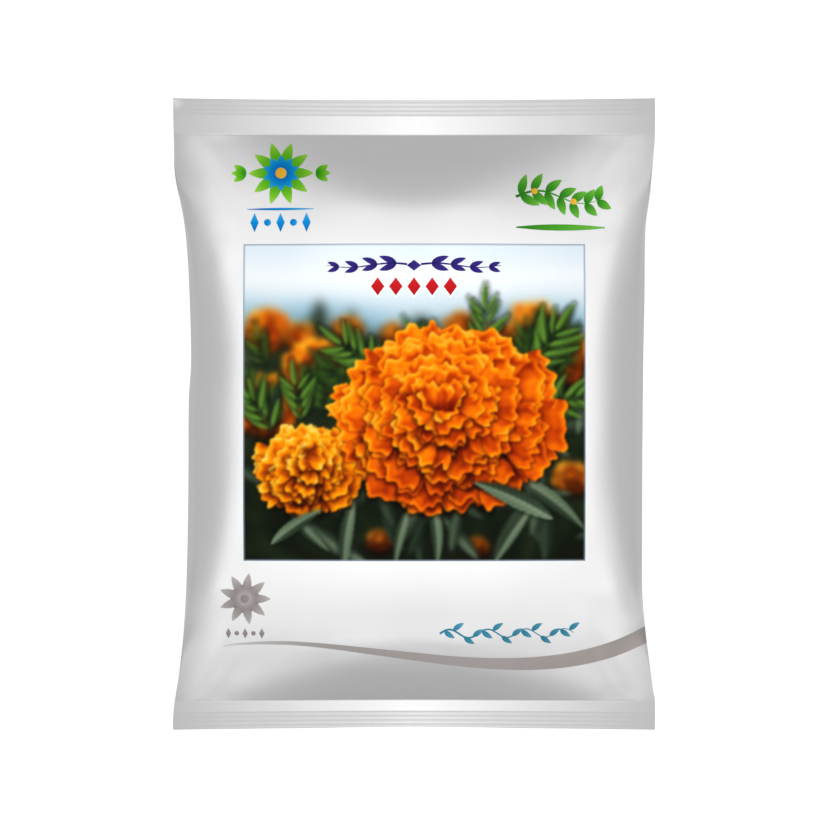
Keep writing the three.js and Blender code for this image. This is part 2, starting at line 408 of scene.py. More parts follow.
pearlFilm = {"Metallic": 0.45, "Coat Weight": 0.1, "Coat Roughness": 0.12, "IOR": 1.5}
pearlGrain = {"Mottle": 0.02, "Roughness": 0.34, "Roughness Spread": 0.06, "Grain Size": 900, "Bump": 0.06}
printInk = {"Metallic": 0.45, "Specular IOR Level": 0.04}
inkGrain = {"Mottle": 0.05, "Roughness": 0.38, "Roughness Spread": 0.06, "Bump": 0.05}
film = grainMaterial("pearl_film", pearlFilm, pearlGrain)
pictureInk = grainMaterial("picture_ink", printInk, {**inkGrain, "Grain Size": 1400})
markInk = grainMaterial("mark_ink", printInk, {**inkGrain, "Grain Size": 1100})
print("materials made")

# The film: a front and a back grid, closed at the side folds and ends, over a plain inside.
filmGrid = {
    "columns": 132, "middleColumns": 23, "bodyRows": 150, "crimpRows": 44, "bandRows": 12,
    "insideColumns": 60, "insideRows": 70, "insideRoom": 0.2, "insideGap": 0.02,
}


def spread(low, high, count):
    return low + (high - low) * (1 - np.cos(np.linspace(0, np.pi, count))) / 2


def filmRows():
    parts = [spread(bottomLine, topLine, filmGrid["bodyRows"])]
    for end, line in ((halfLength, topLine), (-halfLength, bottomLine)):
        band = end * (1 - crimp["band"] / halfLength)
        parts.append(np.linspace(end, band, filmGrid["crimpRows"]))
        parts.append(np.linspace(band, line, filmGrid["bandRows"]))
    return np.unique(np.concatenate(parts))


# Even columns over the trough, then closer ones towards the side folds, which they follow.
def filmPlaces(rows, count, inset=0.0):
    inner = troughHalf + seam["flank"]
    middle = np.linspace(-inner, inner, filmGrid["middleColumns"])
    side = np.linspace(0, 1, (count - len(middle)) // 2 + 1)[1:]
    outer = blendOf(inner, halfWidth, np.sin(side * np.pi / 2))
    columns = np.concatenate([-outer[::-1], middle, outer])[None, :]
    y = np.repeat(rows[:, None], columns.size, axis=1)
    share = np.clip((np.abs(columns) - inner) / (halfWidth - inner), 0, 1)
    edge = np.where(columns < 0, leftEdge(y) + inset, rightEdge(y) - inset)
    return columns + share * (edge - np.sign(columns) * halfWidth), y


# The film's silver white and tint, the plain shares for its back and inside, and the painted shade and painted
# highlights over its front, as shares of its white. Fours hold a value for the top left, top right, bottom
# left and bottom right quarter. Pairs hold the top's and the bottom's, or the left's and the right's where
# the name says sides. A span is a start and a run, and flanks are the nearer and the further one.
silverAndPaintedShade = {
    "tint": (1.0, 1.0, 1.005), "white": 0.84, "inside": 0.73, "back": 0.8,
    "sealMiddle": 1.03, "sealFall": 0.00875, "sealRound": 3, "sealBlend": 0.7, "grooves": 0.08, "tip": 0.2,
    "ribs": (0.2, 0.24), "ribsHalf": 38,
    "outerRibs": (0.03, 0.125), "outerFrom": (71.5, 70), "outerRun": 3, "outerMiddle": 4, "outerHalf": 15,
    "body": 1.028, "endBlend": 40,
    "edge": (0.49, 0.425, 0.48, 0.415), "edgeReach": 10, "edgeRun": (29, 24, 37, 35),
    "valley": (0.1, 0.13, 0.235, 0.26), "valleyFrom": (6.0, 5.3, 5.4, 5.1), "valleySlope": 0.406,
    "valleyFlanks": (2.74, 4.77), "valleyStart": 4, "valleySpan": (3.3, 21.3),
    "hip": (0.255, 0.15, -0.195, -0.28), "hipFrom": (10.6, 21.1), "hipRun": 5.7, "hipWidth": 11.2,
    "ridge": (0.028, 0.076, 0.036, 0.23), "ridgeFrom": 10.5, "ridgeStart": 13, "ridgeRun": 20.3,
    "ridgeSpan": (15, 8), "ridgeFade": 0.5, "ridgeFadeSpan": (36, 20), "ridgeWidth": 2.15,
    "rim": 0.104, "rimReach": 3.8, "rimSpan": (18, 14),
    "bandSides": (0.067, 0.077), "bandFrom": 10.6, "bandWidth": 8.4, "bandSpan": (26, 14),
    "glow": (0.127, 0.3), "glowFrom": 52.2, "glowSlope": 44.2, "glowWidth": 13.2, "glowUntil": 0.95,
    "field": (0.176, 0.223), "fieldFrom": (20, 19.6), "fieldRun": 9.4, "fieldHalf": 27.2,
    "fieldAtSeal": (-0.2, 0.3), "fieldSealRun": 9, "end": (0.098, 0.124), "endSpan": (4.7, 10.9),
    "turn": (0.5, 0.28, 0.3, 0.3), "turnFrom": 13.6, "turnRun": 4.2,
    "turnStart": 6.5, "turnSlope": 0.19, "turnLeast": 0.1,
    "corner": 0.13, "cornerFrom": 46.5, "cornerWidth": 6, "cornerReach": (3.2, 1.6),
    "spotSides": (0.155, 0.165), "spotAtSides": ((45.3, 44.8), (46.8, 45.6)), "spotReach": (4.6, 3.0),
    "patchSides": (0.125, 0.055), "patchAt": (46.5, 38.3), "patchReach": (2.1, 4.2),
}

# The curved stripe, from a fine tail at the left to the right side fold, as x, middle and width, with colours
# from end to end, painted lighter where the light on the film is weaker so that the stripe looks evenly grey.
# The film is paler over it, widely and in a spot, and under it.
stripe = {
    "path": [
        (-45.8, -55.4, 0.3), (-41.9, -54.8, 0.45), (-34.8, -54.47, 0.74), (-27.8, -54.55, 0.9),
        (-18.4, -55.3, 1.2), (-8.9, -56.4, 1.6), (0.5, -57.55, 1.95), (9.9, -58.65, 2.3),
        (19.4, -59.35, 2.75), (28.8, -59.4, 3.15), (38.2, -58.4, 3.5), (47.6, -56.0, 3.85),
        (55.9, -52.45, 4.15),
    ],
    "steps": 300, "foldGap": 0.1,
    "colours": (
        "dcdad8", "cbc8c6", "c2bebc", "b6b2b0", "b3afad", "c0b9b7", "c3bbb9",
        "c8c0be", "c9c1bf", "c2b9b6", "b3aba8", "a29b98", "b6adaa",
    ),
    "wide": 0.085, "wideMiddle": 2, "wideHalf": 40, "wideFade": 12,
    "wideRise": 3, "wideSlope": 0.1, "wideFrom": -30,
    "spot": 0.16, "spotMiddle": 3, "spotHalf": 11, "spotSpan": (1.3, 2.8),
    "under": 0.16, "underMiddle": -15, "underHalf": 18, "underRun": 5.5,
}


def paleByStripe(x, y):
    path = np.array(stripe["path"])
    over = y - np.interp(x, path[:, 0], path[:, 1])
    inside = ease((stripe["wideHalf"] - np.abs(x - stripe["wideMiddle"])) / stripe["wideFade"])
    height = stripe["wideRise"] + stripe["wideSlope"] * np.maximum(0, x - stripe["wideFrom"])
    above = stripe["wide"] * inside * (1 - ease(over / height))
    spot = stripe["spot"] * bump(x - stripe["spotMiddle"], stripe["spotHalf"])
    above += spot * (1 - risen(over, stripe["spotSpan"]))
    under = stripe["under"] * bump(x - stripe["underMiddle"], stripe["underHalf"])
    below = under * (1 - ease(-over / stripe["underRun"]))
    return 1 + np.where(over > 0, above, below)


# By each upper corner of the picture the film has a painted highlight, slanting outwards, over a patch of
# painted shade.
def paintedLightBesidePicture(x, y):
    right = (x > 0).astype(int)
    fromSpot = np.stack([np.abs(x), y], axis=-1) - np.array(silverAndPaintedShade["spotAtSides"])[right]
    across, up = fromSpot[..., 0], fromSpot[..., 1]
    slant, square = silverAndPaintedShade["spotReach"]
    spot = bump((across + up) / 2**0.5, slant) * bump((across - up) / 2**0.5, square)
    middle, height = silverAndPaintedShade["patchAt"]
    reach, run = silverAndPaintedShade["patchReach"]
    darker = bump(np.abs(x) - middle, reach) * bump(y - height, run)
    return 1 + np.array(silverAndPaintedShade["spotSides"])[right] * spot - np.array(silverAndPaintedShade["patchSides"])[right] * darker


# The painted shade over the seal bands: darker towards their ends, over the pressed ribs and in their grooves,
# and a little paler at the outermost ribs in the middle.
def sealPaintedShade(x, y):
    onRibs, inGroove = grooves(x, y)
    shade = silverAndPaintedShade["sealMiddle"] - silverAndPaintedShade["sealFall"] * np.hypot(x, silverAndPaintedShade["sealRound"])
    shade = shade * (1 - np.where(y > 0, *silverAndPaintedShade["ribs"]) * onRibs * bump(x, silverAndPaintedShade["ribsHalf"]))
    outer = ease((np.abs(y) - np.where(y > 0, *silverAndPaintedShade["outerFrom"])) / silverAndPaintedShade["outerRun"])
    outer = outer * bump(x - silverAndPaintedShade["outerMiddle"], silverAndPaintedShade["outerHalf"])
    shade = shade * (1 + np.where(y > 0, *silverAndPaintedShade["outerRibs"]) * outer)
    return shade * (1 - silverAndPaintedShade["grooves"] * inGroove)


# The painted shade and painted highlights over the front between the seals.
def bodyPaintedShade(x, y):
    fromSeal = insideSeals(y)
    fromFold = np.minimum(x - leftEdge(y), rightEdge(y) - x)
    right = (x > 0).astype(int)
    upper = ease(0.5 + y / silverAndPaintedShade["endBlend"])

    def own(key):
        depths = np.array(silverAndPaintedShade[key])
        return blendOf(depths[2:][right], depths[:2][right], upper)

    def atEnd(key):
        return np.where(y > 0, *silverAndPaintedShade[key])

    # Painted shade: grey by the folds near the seals, a valley further from the folds with the distance from
    # the seal, and a patch by each fold near the seal, darker at the top and paler at the bottom.
    atFold = 1 - ease(fromFold / silverAndPaintedShade["edgeReach"])
    shade = silverAndPaintedShade["body"] * (1 - own("edge") * atFold * (1 - ease(fromSeal / own("edgeRun"))))
    aside = fromFold - own("valleyFrom") - silverAndPaintedShade["valleySlope"] * fromSeal
    valley = own("valley") * bump(aside, np.where(aside < 0, *silverAndPaintedShade["valleyFlanks"]))
    valley = valley * ease(fromSeal / silverAndPaintedShade["valleyStart"]) * (1 - risen(fromSeal, silverAndPaintedShade["valleySpan"]))
    hip = bump(fromSeal - atEnd("hipFrom"), silverAndPaintedShade["hipRun"]) * bump(fromFold, silverAndPaintedShade["hipWidth"])
    shade *= (1 - valley) * (1 - own("hip") * hip)
    # A painted highlight along each side fold as a pale ridge, with painted shade as a grey rim outside it and
    # a soft grey band inside it.
    past = np.maximum(0, fromSeal - silverAndPaintedShade["ridgeStart"])
    line = silverAndPaintedShade["ridgeFrom"] * (1 - np.exp(-past / silverAndPaintedShade["ridgeRun"]))
    along = risen(fromSeal, silverAndPaintedShade["ridgeSpan"])
    along = along * (1 - silverAndPaintedShade["ridgeFade"] * risen(fromSeal, silverAndPaintedShade["ridgeFadeSpan"]))
    shade *= 1 + own("ridge") * along * bump(fromFold - line, silverAndPaintedShade["ridgeWidth"])
    rim = (1 - ease(fromFold / silverAndPaintedShade["rimReach"])) * risen(fromSeal, silverAndPaintedShade["rimSpan"])
    shade *= 1 - silverAndPaintedShade["rim"] * rim
    band = bump(fromFold - silverAndPaintedShade["bandFrom"], silverAndPaintedShade["bandWidth"]) * risen(fromSeal, silverAndPaintedShade["bandSpan"])
    shade *= 1 - np.array(silverAndPaintedShade["bandSides"])[right] * band
    # Painted shade as a dark field by each seal, with a painted highlight as a glow round it, and a little
    # painted shade right by the seals.
    share = fromSeal / np.where(y > 0, packet["topArchRun"], packet["bottomArchRun"])
    glow = bump(np.abs(x) - silverAndPaintedShade["glowFrom"] + silverAndPaintedShade["glowSlope"] * share, silverAndPaintedShade["glowWidth"])
    shade *= 1 + atEnd("glow") * glow * np.sin(np.pi * np.clip(share / silverAndPaintedShade["glowUntil"], 0, 1))
    field = bump(fromSeal - atEnd("fieldFrom"), silverAndPaintedShade["fieldRun"])
    field += atEnd("fieldAtSeal") * (1 - ease(fromSeal / silverAndPaintedShade["fieldSealRun"]))
    shade *= 1 - atEnd("field") * field * bump(x, silverAndPaintedShade["fieldHalf"])
    shade *= 1 - atEnd("end") * (1 - risen(fromSeal, silverAndPaintedShade["endSpan"]))
    # Painted highlights where the folds turn down by the corners, and by the seals near the corners.
    turnReach = silverAndPaintedShade["turnSlope"] * np.maximum(silverAndPaintedShade["turnLeast"], fromSeal - silverAndPaintedShade["turnStart"])
    turn = own("turn") * bump(fromSeal - silverAndPaintedShade["turnFrom"], silverAndPaintedShade["turnRun"])
    shade *= 1 + turn * (1 - ease(fromFold / turnReach))
    corner = bump(np.abs(x) - silverAndPaintedShade["cornerFrom"], silverAndPaintedShade["cornerWidth"])
    shade *= 1 + silverAndPaintedShade["corner"] * corner * (1 - ease(fromSeal / atEnd("cornerReach")))
    return shade * paleByStripe(x, y) * paintedLightBesidePicture(x, y)


# The tip of the corner at the top left stands up, and has a painted highlight round a place a little inside
# it.
looseCorner = {"reach": 3.0, "lift": 0.3, "highlightReach": 2.2, "highlightInset": (0.9, 0.8)}


# The front's colour: the silver white times the painted shade, blended from the seals into the body, with the
# painted highlight by the loose corner.
def silverWithPaintedShade(x, y):
    inside = ease(0.5 + np.minimum(topLine - y, y - bottomLine) / silverAndPaintedShade["sealBlend"])
    across, down = looseCorner["highlightInset"]
    fromTip = np.hypot(x + halfWidth - across, y - halfLength + down)
    # The "tip" value is a painted highlight added round that place.
    tip = silverAndPaintedShade["tip"] * ease(1 - fromTip / looseCorner["highlightReach"])
    return np.minimum(1, silverAndPaintedShade["white"] * (blendOf(sealPaintedShade(x, y), bodyPaintedShade(x, y), inside) + tip))


def withLooseCorner(points):
    x, y = points[..., 0], points[..., 1]
    near = np.hypot(x + halfWidth, y - halfLength)
    points[..., 2] += looseCorner["lift"] * ease(1 - near / looseCorner["reach"])
    return points


def filmInside():
    wall = packet["wall"]
    rows = spread(bottomLine + wall, topLine - wall, filmGrid["insideRows"])
    x, y = filmPlaces(rows, filmGrid["insideColumns"], wall)
    swell = rise(x, y, wall)
    level = foldHeight(x, y)
    room = packet["puff"] - packet["crown"] - filmGrid["insideRoom"]
    upper = np.stack([x, y, level + room * swell + filmGrid["insideGap"]], axis=-1)
    lower = np.stack([x, y, level + (trough(x) - packet["puff"]) * swell - filmGrid["insideGap"]], axis=-1)
    return upper, lower


def makeFilm():
    x, y = filmPlaces(filmRows(), filmGrid["columns"])
    outside, outsideFaces = closedShell(withLooseCorner(onFront(x, y)), withLooseCorner(onBack(x, y)))
    inside, insideFaces = closedShell(*filmInside(), first=len(outside), flip=True)
    points = np.concatenate([outside, inside])
    piece = makeMesh("film", points, np.concatenate([outsideFaces, insideFaces]), film)
    # The front's points take the silver white with its painted shade and highlights; the back and inside are
    # plain.
    shade = np.full(len(points), silverAndPaintedShade["inside"])
    shade[: x.size] = silverWithPaintedShade(x, y).ravel()
    shade[x.size : len(outside)] = silverAndPaintedShade["back"]
    paintPoints(piece, shade[:, None] * np.array(silverAndPaintedShade["tint"]), encoded=False)
    return piece


filmPiece = makeFilm()
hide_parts("pouch_film")
print("film made")

# The back seam: a fin folded flat into the trough, with fine ribs across it from the sealing wheels.
seamMesh = {
    "rowsPerRib": 6, "round": 0.2, "roundSteps": 5, "rootRise": 0.1, "flatPoints": 12, "flatInset": 0.4,
}


def arcPoints(centreX, centreH, radius, fromTurn, toTurn):
    turns = np.linspace(fromTurn, toTurn, seamMesh["roundSteps"])
    return [(centreX + radius * np.cos(turn), centreH + radius * np.sin(turn)) for turn in turns]


# Outline across the fin: places across the packet, and heights over the back's surface.
def seamOutline():
    half, thick, top = seam["width"] / 2, seam["thick"], -seam["gap"]
    radius, inset, count = seamMesh["round"], seamMesh["flatInset"], seamMesh["flatPoints"]
    outline = [(-half, seamMesh["rootRise"]), (-half + thick, seamMesh["rootRise"]), (-half + thick, top)]
    outline += [(x, top) for x in np.linspace(-half + thick + inset, half - radius, count)]
    outline += arcPoints(half - radius, top - thick / 2, thick / 2, np.pi / 2, -np.pi / 2)[1:]
    outline += [(x, top - thick) for x in np.linspace(half - radius - inset, -half + radius, count)]
    outline += arcPoints(-half + radius, top - thick + radius, radius, -np.pi / 2, -np.pi)[1:]
    return np.array(outline)


def makeSeam():
    outline = seamOutline()
    count = int(packet["length"] / seam["ribPitch"] * seamMesh["rowsPerRib"])
    y = np.linspace(-halfLength, halfLength, count)[:, None]
    x = np.repeat(outline[None, :, 0], count, axis=0)
    base = foldHeight(0, y) - packet["wall"] + (troughDepth - packet["puff"]) * rise(0, y)
    inward = ease((seam["width"] / 2 - np.abs(x)) / seam["ribFade"])
    wave = seam["ribHeight"] * np.sin(y / seam["ribPitch"] * 2 * np.pi) * inward
    points = np.stack([x, bowed(x, y), base + outline[None, :, 1] + wave], axis=-1)
    at = np.arange(x.size).reshape(x.shape)
    nextAt = np.roll(at, -1, axis=1)
    faces = np.stack([at[:-1], at[1:], nextAt[1:], nextAt[:-1]], axis=-1).reshape(-1, 4).tolist()
    faces += [at[0].tolist(), at[-1, ::-1].tolist()]
    piece = makeMesh("back_seam", points, faces, film, sharp=50)
    paintPoints(piece, np.full((x.size, 3), silverAndPaintedShade["back"]), encoded=False)


makeSeam()
print("back seam made")

# The printed picture: a garden painted on a canvas, which then colours the points of a thin skin.
picture = {
    "left": -40.47, "right": 40.62, "bottom": -34.82, "top": 40.33, "step": 0.27, "lift": 0.03, "order": 11,
}
pictureBorder = {"colour": "8f9fb0", "covers": (1, 0.5)}


def canvasPlaces(low, high):
    return np.linspace(low, high, int((high - low) / picture["step"]))


canvasX = canvasPlaces(picture["left"], picture["right"])
canvasY = canvasPlaces(picture["bottom"], picture["top"])
chance = np.random.default_rng(picture["order"])


def between(low, high):
    return low + (high - low) * chance.random()


def anyTurn():
    return between(0, 6.28)


# Colours between the codes at their stops, which are even from 0 to 1 if none are given.
def ramp(level, codes, stops=None):
    colours = np.array([hexColour(code) for code in codes])
    stops = np.linspace(0, 1, len(codes)) if stops is None else stops
    return np.stack([np.interp(level, stops, colours[:, i]) for i in range(3)], axis=-1)


# The part of the canvas round a place, with coordinates from that place along a direction and to its left.
def patch(centre, reach, turn):
    columns = slice(*np.searchsorted(canvasX, (centre[0] - reach, centre[0] + reach)))
    rows = slice(*np.searchsorted(canvasY, (centre[1] - reach, centre[1] + reach)))
    across, up = np.meshgrid(canvasX[columns] - centre[0], canvasY[rows] - centre[1])
    cos, sin = np.cos(turn), np.sin(turn)
    return (rows, columns), across * cos + up * sin, up * cos - across * sin


def lay(canvas, where, colour, cover):
    cover = cover[..., None]
    canvas[where] = canvas[where] * (1 - cover) + colour * cover


def blurred(image, size):
    reach = int(3 * size) + 1
    weights = np.exp(-0.5 * (np.arange(-reach, reach + 1) / size) ** 2)
    weights /= weights.sum()
    for axis in (0, 1):
        pad = [(reach, reach) if i == axis else (0, 0) for i in range(image.ndim)]
        wide = np.pad(image, pad, mode="edge")
        count = image.shape[axis]
        image = sum(w * np.take(wide, np.arange(i, i + count), axis=axis) for i, w in enumerate(weights))
    return image


def cloud(size):
    rough = chance.random((len(canvasY), len(canvasX)))
    soft = blurred(rough, size / picture["step"])
    return (soft - soft.mean()) / soft.std()


# One petal: a fan with a frilled tip and soft folds, over its own shadow, which lies a little lower.
# The light comes from above. Each edge line is a tone, its distance from the tip and its width.
petal = {
    "patch": 1.25, "slant": 0.12, "lobes": (3.2, 5.4), "notch": (0.7, 0.45), "rootWidth": 0.34, "fan": 0.7,
    "tip": (0.93, 0.15), "frill": 0.17, "fineFrill": (0.35, 2.2), "shadow": (0.42, 0.2, 0.05),
    "shadowReach": 2.1, "shadowDrop": 0.85, "shadowDepth": 0.76, "shadowSoft": 0.2,
    "tone": (0.02, 0.66, 0.92, 0.8), "folds": (0.17, 1.5), "streaks": (0.03, 15), "sideTone": 0.10,
    "paleEdge": (0.24, 0.4, 0.62), "darkEdge": (0.15, 1.8, 0.9), "soft": 0.24,
}
lightFrom = np.array([-0.35, 0.94])
orange = ("5a0c00", "942200", "c84000", "ea6000", "fb7e00", "ff9a04", "ffb62c")
amber = ("6a1c00", "a63c00", "da6400", "f68600", "ffa206", "ffbc24", "ffd65e")


def edgeLine(distance, line):
    tone, middle, width = line
    return tone * bump(distance - middle, width)


def paintPetal(canvas, root, turn, length, width, colours, gain):
    where, u, v = patch(root, np.hypot(length, width) * petal["patch"], turn)
    if u.size == 0:
        return
    u, v = u / length, v / (width / 2)
    phase, wobble, slant = anyTurn(), anyTurn(), between(-petal["slant"], petal["slant"])
    lobes = between(*petal["lobes"])
    sharpness, level = petal["notch"]
    notch = np.abs(np.sin(v * lobes / 2 + phase)) ** sharpness
    amount, pitch = petal["fineFrill"]
    frill = notch - level + amount * np.sin(v * lobes * pitch + wobble)
    reach, rounding = petal["tip"]
    tip = reach - rounding * v * v + slant * v + petal["frill"] * frill
    fan = blendOf(petal["rootWidth"], 1, ease(u / petal["fan"]))
    inward = (tip - u) * length
    side = np.minimum(np.minimum((fan - np.abs(v)) * width / 2, inward), u * length)
    low = np.clip(petal["shadowDrop"] * (0.4 - 0.6 * np.sin(turn)), 0.1, 1)
    shadow = ease((side + petal["shadowReach"] * low + petal["shadowSoft"]) / petal["shadowReach"])
    shadow = shadow * petal["shadowDepth"] * (side < petal["soft"])
    canvas[where] *= 1 - shadow[..., None] * (1 - np.array(petal["shadow"]))
    base, gainOut, run, power = petal["tone"]
    tone = base + gainOut * ease(u / run) ** power
    amount, run = petal["folds"]
    tone += amount * np.sin(v * lobes + phase * 2) * ease(u * run)
    amount, pitch = petal["streaks"]
    tone = tone + amount * np.sin(v * pitch + wobble) - petal["sideTone"] * v * np.sign(np.cos(turn))
    tone += edgeLine(inward, petal["paleEdge"]) * (0.4 + 0.6 * notch)
    tone = tone - edgeLine(inward, petal["darkEdge"])
    lay(canvas, where, ramp(tone * gain, colours), ease(side / petal["soft"]))


# A bloom: rings of petals from its rim inwards, drawn in towards a pole that leans to the viewer.
bloom = {
    "ringStep": 0.40, "crowding": 0.9, "spacing": 0.6, "stray": 0.3, "size": (0.66, 0.34),
    "length": (0.9, 1.2), "width": (0.85, 1.45), "tip": (0.86, 1.04), "facing": (-0.55, 0.55),
    "light": (0.92, 0.34), "lightSpread": (-0.12, 0.12),
}


def paintBloom(canvas, centre, radius, squash, lean, size, colours, gain=1.0):
    rings = max(3, int(radius / (size * bloom["ringStep"])))
    for ring in range(rings):
        out = 1 - ring / rings
        reach = radius * out ** bloom["crowding"]
        middle = np.array(centre) + np.array(lean) * radius * (1 - out)
        count = max(3, int(2 * np.pi * reach / (size * bloom["spacing"])))
        near = size * (bloom["size"][0] + bloom["size"][1] * out)
        start = anyTurn()
        for step in chance.permutation(count):
            turn = start + 2 * np.pi * (step + between(-bloom["stray"], bloom["stray"])) / count
            direction = np.array([np.cos(turn), np.sin(turn) * squash])
            length, width = near * between(*bloom["length"]), near * between(*bloom["width"])
            tip = middle + direction * reach * between(*bloom["tip"])
            root = tip - direction / np.hypot(*direction) * length
            facing = np.arctan2(direction[1], direction[0]) + between(*bloom["facing"])
            height = (tip - centre) @ lightFrom / radius
            lit = bloom["light"][0] + bloom["light"][1] * height + between(*bloom["lightSpread"])
            paintPetal(canvas, root, facing, length, width, colours, gain * lit)


# A leaf blade on a curved midrib, toothed at its edges, over a thin shadow.
blade = {
    "patch": 1.2, "outline": (0.85, 0.8), "teeth": 0.07, "shadow": (0.02, 0.05, 0.03), "shadowDepth": 0.5,
    "shadowSpan": (-1.1, 1.5), "tone": 0.50, "halfTone": (0.15, 0.4), "rimTone": 0.16,
    "veins": (0.03, 1.3, 2.6), "midrib": (0.16, 0, 0.25), "tipTone": 0.12,
}


def paintLeaf(canvas, root, turn, length, width, bend, colours, gain=1.0, teeth=9, soft=0.3):
    where, t, s = patch(root, length * blade["patch"] + width, turn)
    if t.size == 0:
        return
    t = t / length
    s = s - bend * length * t * t
    inside = np.clip(t, 0, 1)
    skew, fullness = blade["outline"]
    half = np.sin(np.pi * inside**skew) ** fullness * width / 2
    half = half * (1 + blade["teeth"] * (np.abs((inside * teeth) % 1 - 0.5) * 2 - 0.5))
    margin = np.where((t > 0) & (t < 1), half - np.abs(s), -9)
    shadow = blade["shadowDepth"] * risen(margin, blade["shadowSpan"]) * (margin < 0.1)
    lay(canvas, where, np.array(blade["shadow"]), shadow)
    amount, run = blade["halfTone"]
    tone = blade["tone"] + amount * np.sign(s) * ease(np.abs(s) / run)
    tone = tone - blade["rimTone"] * np.abs(s) / (width / 2 + 0.01)
    amount, pitch, slant = blade["veins"]
    tone += amount * np.sin((inside * teeth * pitch - np.abs(s) / width * slant) * 2 * np.pi)
    tone = tone + edgeLine(s, blade["midrib"]) - blade["tipTone"] * inside
    lay(canvas, where, ramp(tone * gain, colours), ease(margin / soft))


# A feathery leaf: pairs of leaflets along a stem, and one at its end.
frond = {
    "pairs": 4, "first": 0.7, "bend": (-0.2, 0.2), "size": (0.75, 0.45), "sizeSpread": (0.9, 1.1),
    "splay": (0.5, 0.95), "slender": 0.26, "leafletBend": 0.14, "endLeaflet": (1.1, 0.28),
    "stem": (1.1, 0.6),
}


def paintFrond(canvas, root, turn, length, leaflet, colours, gain=1.0, soft=0.3):
    along = np.array([np.cos(turn), np.sin(turn)])
    aside = np.array([-along[1], along[0]])
    bend = between(*frond["bend"])
    for pair in range(frond["pairs"]):
        share = (pair + frond["first"]) / frond["pairs"]
        size = leaflet * (frond["size"][0] + frond["size"][1] * np.sin(np.pi * share))
        size = size * between(*frond["sizeSpread"])
        place = np.array(root) + along * length * share + aside * bend * length * share**2
        for hand in (-1, 1):
            splay = turn + hand * between(*frond["splay"]) + bend * share
            leafBend = -frond["leafletBend"] * hand
            paintLeaf(canvas, place, splay, size, size * frond["slender"], leafBend, colours, gain, 6, soft)
    place = np.array(root) + along * length + aside * bend * length
    size, width = (leaflet * share for share in frond["endLeaflet"])
    paintLeaf(canvas, place, turn + bend, size, width, 0, colours, gain, 7, soft)
    reach, width = frond["stem"]
    paintLeaf(canvas, root, turn, length * reach, width, bend, colours, gain * 1.1, 1, soft)


deepGreen = ("0b110a", "192312", "2c3a1e", "465633", "66794e", "8c9d75", "afbd9a")
greyGreen = ("121a14", "253224", "3f4f3b", "5f7158", "829279", "a7b49c", "c8d0bd")
freshGreen = ("14240f", "2a4418", "456b22", "628f30", "84ad4a", "abc978")

# The garden, far to near. Heights on the canvas set the backdrop's colours. Blooms are x, y and radius,
# fronds x, y, turn and size, and stems x, y, turn, length and bend. What is near holds all its painter takes.
garden = {
    "heights": (-34, -12, 4, 13, 18, 21.5, 25, 28, 32, 40),
    "backdrop": (
        "11150d", "1a2013", "303a1f", "54633c", "6f8a80", "86b0c4", "b2cfdc", "deebf2", "f6fafc", "e6f2fb",
    ),
    "farBlooms": [
        (-16, 20, 4), (-5, 19, 3.4), (11, 21, 4), (-35, 20, 6), (-27, 18, 4.5), (29, 21, 7), (20, 18, 4.5),
    ],
    "midBlooms": [(-23, 11, 8.5), (37, 13, 7.5), (-36, 2, 9), (37.5, -15, 5), (-8, -30, 3.5), (15, -31.5, 3)],
    "fronds": [
        (16, 15, 1.35, 7), (27, 10, 0.95, 8.5), (-9, 10, 2.3, 7.5), (31, 2, 0.35, 8), (-33, -5, 2.1, 7.5),
        (-27, -3, 1.5, 7),
    ],
    "stems": [
        (-14, -20, -1.9, 19, 0.2), (24, -15, -0.45, 21, -0.2), (28, -22, -2.3, 17, 0.15),
        (4, -20, -1.3, 17, -0.2), (-30, -22, -1.0, 15, 0.2), (-1, -22, -2.0, 15, 0.2),
    ],
    "nearBlooms": [
        ((-25, -13.5), 14, 0.84, (0.05, 0.22), 6.2, amber, 0.93),
        ((8, -1), 28.5, 0.79, (-0.05, 0.2), 9.2, orange, 0.95),
    ],
    "nearLeaves": [
        ((33, -25), 2.55, 21, 4.6, 0.16, greyGreen, 1.0, 11),
        ((-34, -31), 0.75, 15, 3.4, -0.16, greyGreen, 0.95, 11),
    ],
    "sides": (-40, 40), "blurs": (3.2, 2.0, 1.8, 1.3, 0.7, 0.75),
}

farLeaf = {
    "count": 240, "heights": (-36, 15), "tone": (0.15, 0.95), "lowTone": 0.6, "paleSpan": (-20, 30),
    "turn": (0.2, 2.9), "length": (6, 15), "width": (2, 5), "bend": (-0.2, 0.2),
}
bush = {
    "count": 30, "heights": (-4, 13), "leaflet": (5, 8), "turn": (0.7, 2.5), "tone": (0.45, 0.85), "soft": 0.6,
}
midLeaf = {
    "count": 34, "heights": (-36, -4), "length": (10, 20), "slender": 0.22, "turn": (0.2, 2.9),
    "bend": (-0.25, 0.25), "tone": (0.3, 0.95),
}


def somewhere(plants):
    return between(*garden["sides"]), between(*plants["heights"])


def paintBackdrop():
    across, up = np.meshgrid(canvasX, canvasY)
    height = up + 1.0 * cloud(5) + 1.6 * np.sin(across / 9 + 1) * ease((30 - up) / 8)
    return ramp(height, garden["backdrop"], garden["heights"])


